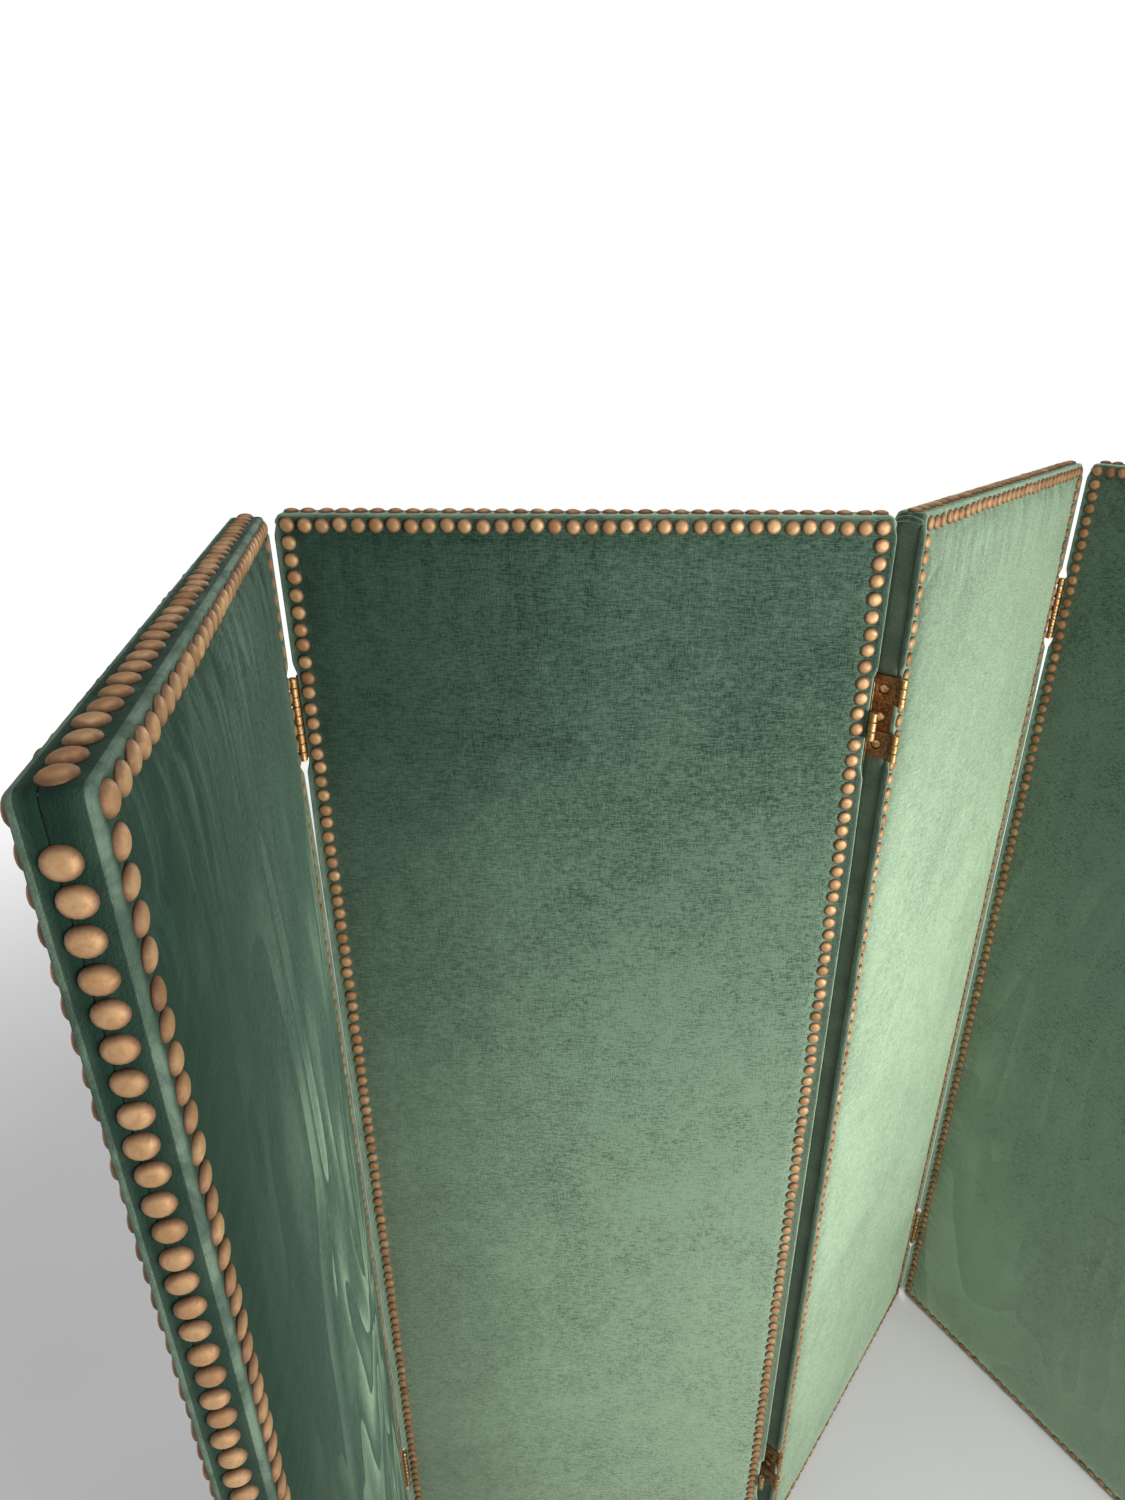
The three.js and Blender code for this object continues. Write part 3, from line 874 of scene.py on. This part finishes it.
def add_tape(panel, side, material):
    """A tape ribbed across, four rows of points to a rib, its ends folded under."""
    rows = np.arange(TAPE_END, HEIGHT - TAPE_END, TAPE_RIB / 4)
    rib = np.cos((rows - TAPE_END) / TAPE_RIB * TAU)
    across = np.array([-1.0, -0.96, -0.5, 0.0, 0.5, 0.96, 1.0]) * TAPE_HALF_WIDTH
    crown = np.array([0.15, 0.5, 0.56, 0.58, 0.56, 0.5, 0.15]) * MM
    count = len(across)
    inner = crown > 0.3 * MM
    outward = crown + TAPE_RIB_HEIGHT * rib[:, None] * inner + TAPE_LIFT
    y = np.tile(across, (len(rows), 1))
    z = np.tile(rows[:, None], (1, count))
    top = np.stack([outward, y, z], -1).reshape(-1, 3)
    back = np.stack([np.full_like(y, TAPE_BACK), y, z], -1)[:, [0, -1]].reshape(-1, 3)
    base = len(top)
    faces = grid_faces(count, len(rows))
    for j in range(len(rows) - 1):
        a, b = j * count, (j + 1) * count
        c, d = base + 2 * j, base + 2 * (j + 1)
        faces += [(c, a, b, d), (a + count - 1, c + 1, d + 1, b + count - 1), (c + 1, c, d, d + 1)]
    last, back_last = (len(rows) - 1) * count, base + 2 * (len(rows) - 1)
    faces.append((base, base + 1, *range(count - 1, -1, -1)))
    faces.append((*range(last, last + count), back_last + 1, back_last))
    points = carry(np.concatenate([top, back]), panel.edge_matrix(side))
    obj = make_object(f"{panel.name}_{side}_edge_tape", points, faces, panel.matrix)
    ribs = np.concatenate([np.repeat(0.5 + 0.5 * rib, count), np.zeros(len(back))])
    add_attributes(obj, place=points + panel.seed, rib=ribs)
    finish_piece(obj, panel, [f"{panel.name}_{side}_tape"], [material])


def add_tuck(panel, side, velvet):
    """The velvet of the top edge, tucked down in a soft roll over the tape's upper end."""
    rng = np.random.default_rng(panel.seed * 10 + 7 + (side == "left"))
    steps, sides = 24, 12
    along = np.linspace(-1, 1, steps + 1)
    taper = np.sqrt(np.clip(1 - along**6, 0, 1)) * 0.98 + 0.02
    sag = TUCK_SAG * along**2 + TUCK_WAVE * np.cos(3 * along + rng.uniform(0, TAU))
    ring = np.array(circle(1.0, sides))
    points = []
    for position, thick, low in zip(along, taper, sag):
        x = TUCK_OUT * thick * ring[:, 0]
        z = HEIGHT - TUCK_DROP - low + TUCK_HALF_HEIGHT * thick * ring[:, 1]
        points.append(np.stack([x, np.full(sides, position * TUCK_HALF_LENGTH), z], -1))
    faces = [quad for step in range(steps) for quad in band(step * sides, (step + 1) * sides, sides)]
    faces.append(tuple(range(sides)))
    faces.append(tuple(steps * sides + k for k in range(sides))[::-1])
    points = carry(np.concatenate(points), panel.edge_matrix(side))
    worn = np.full(len(points), 0.45)
    name = f"{panel.name}_{side}_tape_tuck"
    add_velvet(name, panel, points, faces, (), velvet, place=points + panel.seed, worn=worn)


# ---- Hinges, in coordinates whose z axis lies between the two pins' lines ----

# A hinge piece is a list of closed shapes, each (points, faces, material index). The indices are:
PLATE, BARREL, LEAF = 0, 1, 2


def add_metal(name, panel, matrix, shapes, nodes, metals):
    """Joins a piece's shapes, and leaves them smooth but for their hard edges."""
    points, faces, indices = [], [], []
    for shape_points, shape_faces, index in shapes:
        faces += [tuple(len(points) + i for i in face) for face in shape_faces]
        points += [tuple(point) for point in shape_points]
        indices += [index] * len(shape_faces)
    obj = make_object(name, np.array(points), faces, matrix)
    obj.data.polygons.foreach_set("material_index", indices)
    obj.data.set_sharp_from_angle(angle=math.radians(32))
    finish_piece(obj, panel, nodes, metals)


def rounded_rectangle(width, height, radius, middle, steps=4):
    """The outline of a plate, centred on (0, middle)."""
    points = []
    for quarter, (sx, sy) in enumerate([(1, 1), (-1, 1), (-1, -1), (1, -1)]):
        cx, cy = sx * (width / 2 - radius), sy * (height / 2 - radius)
        for k in range(steps + 1):
            angle = (quarter + k / steps) * math.pi / 2
            points.append((cx + radius * math.cos(angle), middle + cy + radius * math.sin(angle)))
    return points


def pierced_plate(outline, holes, depth, x, bevel=PLATE_BEVEL):
    """A flat plate in the y-z plane, centred on x, with holes and softened edges. Made in mm."""
    curve = bpy.data.curves.new("plate", "CURVE")
    curve.dimensions = "2D"
    curve.fill_mode = "BOTH"
    curve.extrude = (depth / 2 - bevel) / MM
    curve.bevel_depth = bevel / MM
    curve.bevel_resolution = 1
    curve.offset = -bevel / MM
    for ring in [outline, *holes]:
        spline = curve.splines.new("POLY")
        spline.points.add(len(ring) - 1)
        spline.use_cyclic_u = True
        for point, (a, b) in zip(spline.points, ring):
            point.co = (a / MM, b / MM, 0, 1)
    holder = new_object("plate", curve)
    mesh = bpy.data.meshes.new_from_object(holder.evaluated_get(bpy.context.evaluated_depsgraph_get()))
    bm = bmesh.new()
    bm.from_mesh(mesh)
    bmesh.ops.remove_doubles(bm, verts=bm.verts, dist=1e-4)
    bmesh.ops.recalc_face_normals(bm, faces=bm.faces)
    points = [(x + v.co.z * MM, v.co.x * MM, v.co.y * MM) for v in bm.verts]
    faces = [tuple(v.index for v in f.verts) for f in bm.faces]
    bm.free()
    bpy.data.objects.remove(holder)
    return points, faces


def lathe(profile, y, base, sides=28, closed=True):
    """Turns a profile of (radius, height) about an upright line. If closed, it makes a ring."""
    points, faces = [], []
    for radius, up in profile:
        points += [(a, b, base + up) for a, b in circle(radius, sides, 0.0, y)]
    levels = len(profile)
    for level in range(levels if closed else levels - 1):
        faces += band(((level + 1) % levels) * sides, level * sides, sides)
    if not closed:
        faces.append(tuple(range(sides))[::-1])
        faces.append(tuple((levels - 1) * sides + k for k in range(sides)))
    return points, faces


def section_base(section):
    return section * HINGE_HEIGHT / HINGE_SECTIONS + HINGE_FIT / 2


def section_middle(section):
    return section_base(section) + SECTION_HEIGHT / 2


def knuckle(y, plate_x, section, level):
    """A rolled knuckle at one of a section's three levels, and its tongue of plate."""
    base = section_base(section) + level * KNUCKLE_PITCH + HINGE_FIT / 2
    top = KNUCKLE_HEIGHT
    outer, edge = KNUCKLE_RADIUS, KNUCKLE_RADIUS - KNUCKLE_CHAMFER
    ring = [(KNUCKLE_BORE, 0), (edge, 0), (outer, KNUCKLE_CHAMFER), (outer, top - KNUCKLE_CHAMFER)]
    ring += [(edge, top), (KNUCKLE_BORE, top)]
    root = math.copysign(PLATE_WIDTH / 2 - 1.5 * MM, y)
    tip = y - math.copysign(2.6 * MM, y)
    xs = (plate_x - PLATE_DEPTH / 2, plate_x + PLATE_DEPTH / 2)
    ys = sorted((root, tip))
    corners = [(x, b, z) for z in (base, base + top) for b in ys for x in xs]
    quads = [(0, 2, 3, 1), (4, 5, 7, 6), (0, 1, 5, 4), (2, 6, 7, 3), (0, 4, 6, 2), (1, 3, 7, 5)]
    return [(*lathe(ring, y, base), BARREL), (corners, quads, PLATE)]


def hinge_leaf():
    """The left-hand panel's leaf, with its knuckles and pins. Half turned, it is the right's."""
    outline = rounded_rectangle(PLATE_WIDTH, HINGE_HEIGHT, 1.2 * MM, HINGE_HEIGHT / 2)
    middles = map(section_middle, range(HINGE_SECTIONS))
    holes = [circle(SCREW_RADIUS + 0.25 * MM, 28, 0.0, z) for z in middles]
    shapes = [(*pierced_plate(outline, holes, PLATE_DEPTH, LEAF_X), LEAF)]
    top = SECTION_HEIGHT + PIN_PROUD
    pin = [(PIN_END_RADIUS, -PIN_PROUD), (PIN_RADIUS, -PIN_PROUD), (PIN_RADIUS, top), (PIN_END_RADIUS, top)]
    for section in range(HINGE_SECTIONS):
        y = -PIN_Y if section == 1 else PIN_Y
        shapes += knuckle(y, LEAF_X, section, 1)
        shapes.append((*lathe(pin, y, section_base(section), 20, closed=False), BARREL))
    return shapes


def hinge_link(section):
    """The link in one section, with two knuckles on each pin line."""
    middle = section_middle(section)
    outline = rounded_rectangle(PLATE_WIDTH, SECTION_HEIGHT - 0.7 * MM, 0.8 * MM, middle)
    hole = circle(LINK_HOLE_RADIUS, 28, 0.0, middle)
    shapes = [(*pierced_plate(outline, [hole], PLATE_DEPTH, 0), PLATE)]
    for y in (-PIN_Y, PIN_Y):
        for level in (0, 2):
            shapes += knuckle(y, 0, section, level)
    return shapes


def hinge_screws(rng):
    """The slotted screws in the left-hand leaf: each a bed and two half heads."""
    shapes = []
    outer_face = LEAF_X + PLATE_DEPTH / 2
    bed = [(0.6 * MM, -1.1 * MM), (SCREW_RADIUS - 0.5 * MM, -1.0 * MM)]
    bed += [(SCREW_RADIUS, -0.40 * MM), (SCREW_RADIUS - 0.1 * MM, -0.35 * MM)]
    points, faces = lathe(bed, 0, 0, 24, closed=False)
    faces = [face[::-1] for face in faces]
    arc = np.linspace(SLOT_HALF_ANGLE, math.pi - SLOT_HALF_ANGLE, 14)
    for section in range(HINGE_SECTIONS):
        middle = section_middle(section)
        shapes.append(([(outer_face + up, y, middle + x) for x, y, up in points], faces, PLATE))
        slot = rng.uniform(0, math.pi)
        for start in (slot, slot + math.pi):
            ring = SCREW_HEAD_RADIUS * np.stack([np.cos(start + arc), np.sin(start + arc)], 1) + (0, middle)
            half_head = pierced_plate(ring, [], 0.6 * MM, outer_face - 0.05 * MM, 0.14 * MM)
            shapes.append((*half_head, PLATE))
    return shapes


def add_hinge(name, left, right, folds_to, seed, brasses):
    """One two-way hinge. Its outer links lie on one panel and its middle link on the other."""
    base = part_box(f"{name}_left_leaf")[0].z
    from_left = left.matrix @ Matrix.Translation((left.width + EDGE_GAP / 2, 0, base))
    from_right = right.matrix @ Matrix.Translation((-EDGE_GAP / 2, 0, base))
    turned = from_right @ Matrix.Rotation(math.pi, 4, "Z")
    outer, middle = (left, from_left), (right, from_right)
    if folds_to == "rear":
        outer, middle = middle, outer
    pieces = [
        ("left_leaf", hinge_leaf(), left, from_left),
        ("right_leaf", hinge_leaf(), right, turned),
        ("bottom_link", hinge_link(0), *outer),
        ("middle_link", hinge_link(1), *middle),
        ("top_link", hinge_link(2), *outer),
    ]
    metals = [brasses[kind] for kind in ("hinge_plate", "hinge_barrel", "hinge_leaf")]
    for part, shapes, panel, matrix in pieces:
        add_metal(f"{name}_{part}_metal", panel, matrix, shapes, [f"{name}_{part}"], metals)
    rng = np.random.default_rng(seed)
    for part, panel, matrix in (("left_screws", left, from_left), ("right_screws", right, turned)):
        add_metal(f"{name}_{part}", panel, matrix, hinge_screws(rng), (), [brasses["hinge_screw"]])


# ---- Camera, light and floor ----


def add_camera():
    """A phone's wide lens at standing eye height, close in front of the centre left panel."""
    data = bpy.data.cameras.new("camera")
    data.sensor_width = 36
    data.lens = 20.78
    data.shift_x, data.shift_y = -0.0113, -0.0027
    data.clip_start = 0.02
    camera = new_object("camera", data)
    pitch, yaw, roll = math.radians(23.91), math.radians(1.93), math.radians(-0.09)
    tilt = Matrix.Rotation(math.pi / 2 - pitch, 4, "X") @ Matrix.Rotation(roll, 4, "Z")
    place = Matrix.Translation((0.0215, -0.727, 1.638))
    camera.matrix_world = place @ Matrix.Rotation(yaw, 4, "Z") @ tilt
    bpy.context.scene.camera = camera


def add_lamp(name, place, target, size, spread, power, colour=(1.0, 1.0, 1.0)):
    data = bpy.data.lights.new(name, "AREA")
    data.spread = math.radians(spread)
    data.shape = "DISK"
    data.size = size
    data.energy = power
    data.color = colour
    lamp = new_object(name, data)
    lamp.visible_camera = False
    aim = (Vector(target) - Vector(place)).to_track_quat("-Z", "Y")
    lamp.matrix_world = Matrix.Translation(place) @ aim.to_matrix().to_4x4()


def add_floor():
    """A plain pale floor that runs out into a white backdrop."""
    signs = [(-1, -1, 0), (1, -1, 0), (1, 1, 0), (-1, 1, 0)]
    floor = make_object("floor", np.array(signs) * FLOOR_HALF, [(0, 1, 2, 3)])
    g = Graph("pale_floor")
    place = g.object_place()
    g.give("Base Color", g.mix(g.noise(place, 3.0, 4.0), (0.60, 0.595, 0.61, 1), (0.66, 0.655, 0.67, 1)))
    g.give("Roughness", 0.6)
    distance = g.node("ShaderNodeVectorMath", {0: place}, operation="LENGTH").outputs["Value"]
    g.give("Emission Color", (1, 1, 1, 1))
    g.give("Emission Strength", g.ramp(distance, 1.0, 4.0, 0.05, 0.9))
    floor.data.materials.append(g.material)


def add_world():
    """White to look at, and softer than that to be lit by."""
    world = bpy.data.worlds.new("studio")
    world.use_nodes = True
    nodes, links = world.node_tree.nodes, world.node_tree.links
    path = nodes.new("ShaderNodeLightPath")
    strength = nodes.new("ShaderNodeMapRange")
    strength.inputs["To Min"].default_value = AMBIENT
    links.new(path.outputs["Is Camera Ray"], strength.inputs["Value"])
    links.new(strength.outputs["Result"], nodes["Background"].inputs["Strength"])
    nodes["Background"].inputs["Color"].default_value = (1, 1, 1, 1)
    bpy.context.scene.world = world
    bpy.context.scene.view_settings.view_transform = "Standard"


# ---- The whole screen ----


def add_panels(panels):
    """Every panel's covers, nails, tapes and tucks."""
    nail, tape = nail_material(), tape_material()
    velvets = {panel: velvet_material(f"velvet_{panel}", *look) for panel, look in VELVETS.items()}
    sheets = {}
    width = panels["far_left"].width
    sheets = {side: cloth_swell(width, seed) for seed, side in enumerate(("front", "rear"), 1)}
    for number, panel in enumerate(panels.values()):
        velvet = velvets[panel.name]
        for side in ("front", "rear"):
            xs, zs, risen = sheets.get(side) or plain_swell(panel.width)
            mirrored = sheets and number % 2 == 0
            add_cover(panel, side, (xs, zs, risen[:, ::-1] if mirrored else risen), velvet, nail)
        add_edge_nails(panel, nail)
        for side in panel.hinged:
            add_tape(panel, side, tape)
            add_tuck(panel, side, velvet)


def add_hinges(panels):
    """An upper and a lower hinge at each fold."""
    brasses = {name: brass_material(name, *look) for name, look in BRASSES.items()}
    names = list(panels)
    for fold, (joint, folds_to) in enumerate([("left", "front"), ("centre", "rear"), ("right", "front")]):
        left, right = panels[names[fold]], panels[names[fold + 1]]
        for level, where in enumerate(("upper", "lower")):
            add_hinge(f"{joint}_{where}_hinge", left, right, folds_to, 2 * fold + level, brasses)


def dress_timber():
    """The CAD's own frame pieces are kept, in planed softwood."""
    timber = timber_material()
    for name, node in frame["nodes"].items():
        if name.endswith(("stile", "rail")):
            node.data.materials.clear()
            node.data.materials.append(timber)


def main():
    add_camera()
    add_floor()
    add_world()
    for name, lamp in LAMPS.items():
        add_lamp(name, *lamp)
    panels = make_panels()
    add_panels(panels)
    add_hinges(panels)
    dress_timber()


main()
